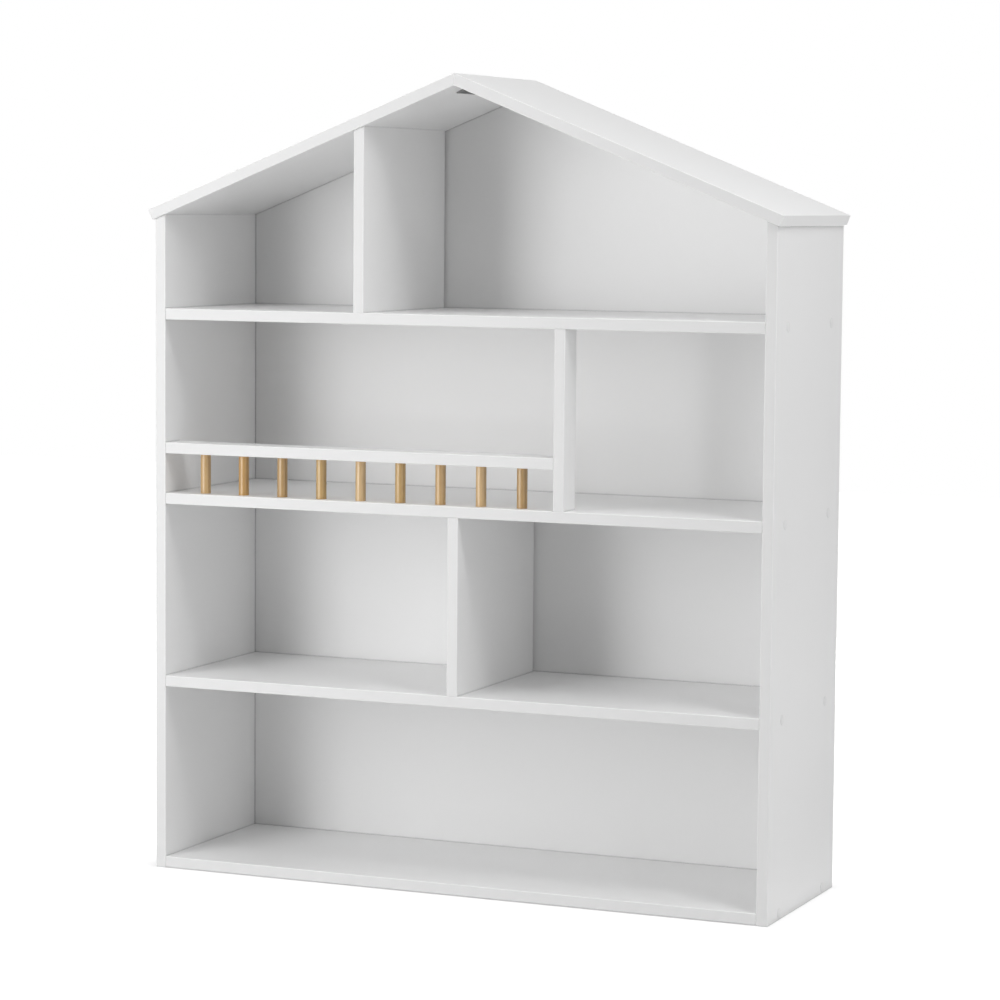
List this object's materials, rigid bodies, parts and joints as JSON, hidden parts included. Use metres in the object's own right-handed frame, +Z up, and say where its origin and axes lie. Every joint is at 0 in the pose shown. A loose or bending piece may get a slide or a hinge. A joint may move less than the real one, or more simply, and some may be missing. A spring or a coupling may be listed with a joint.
{
  "type": "house shaped bookcase",
  "caption": "House-shaped open bookcase: pitched mitred roof over tiers with upright dividers and a low balcony rail on round wooden spindles, in white painted board.",
  "frame": {"origin": "on the floor, in the middle of the overall footprint", "axes": "+Z up, +Y towards the back, +X to the right as seen from the open front"},
  "size_m": [0.9034, 0.278, 1.0824],
  "materials": {
    "painted_board": "smooth satin white paint on fibreboard, edges eased",
    "painted_back": "thin hardboard, white painted face",
    "spindle_wood": "turned pale hardwood with clear satin varnish",
    "dowel_wood": "plain beech, unfinished",
    "bracket_steel": "dark grey coated sheet steel, its screws coated alike",
    "zinc_steel": "bright zinc plating",
    "cap_plastic": "white moulded plastic"
  },
  "bodies": {
    "root": {"left_side_panel": "painted_board", "right_side_panel": "painted_board", "left_roof_panel": "painted_board", "right_roof_panel": "painted_board", "bottom_board": "painted_board", "lower_shelf": "painted_board", "middle_shelf": "painted_board", "top_shelf": "painted_board", "lower_divider": "painted_board", "attic_divider": "painted_board", "balcony_post": "painted_board", "balcony_rail": "painted_board", "spindle_1": "spindle_wood", "spindle_2": "spindle_wood", "spindle_3": "spindle_wood", "spindle_4": "spindle_wood", "spindle_5": "spindle_wood", "spindle_6": "spindle_wood", "spindle_7": "spindle_wood", "spindle_8": "spindle_wood", "spindle_9": "spindle_wood", "bottom_back_panel": "painted_back", "lower_back_panel": "painted_back", "balcony_back_panel": "painted_back", "attic_back_panel": "painted_back", "front_ridge_bracket": "bracket_steel", "rear_ridge_bracket": "bracket_steel", "ridge_bracket_screws": "bracket_steel", "left_side_screws": "zinc_steel", "right_side_screws": "zinc_steel", "divider_screws": "zinc_steel", "left_side_caps": "cap_plastic", "right_side_caps": "cap_plastic", "divider_caps": "cap_plastic", "eave_dowels": "dowel_wood", "divider_dowels": "dowel_wood", "rail_dowels": "dowel_wood"}
  },
  "joints": []
}
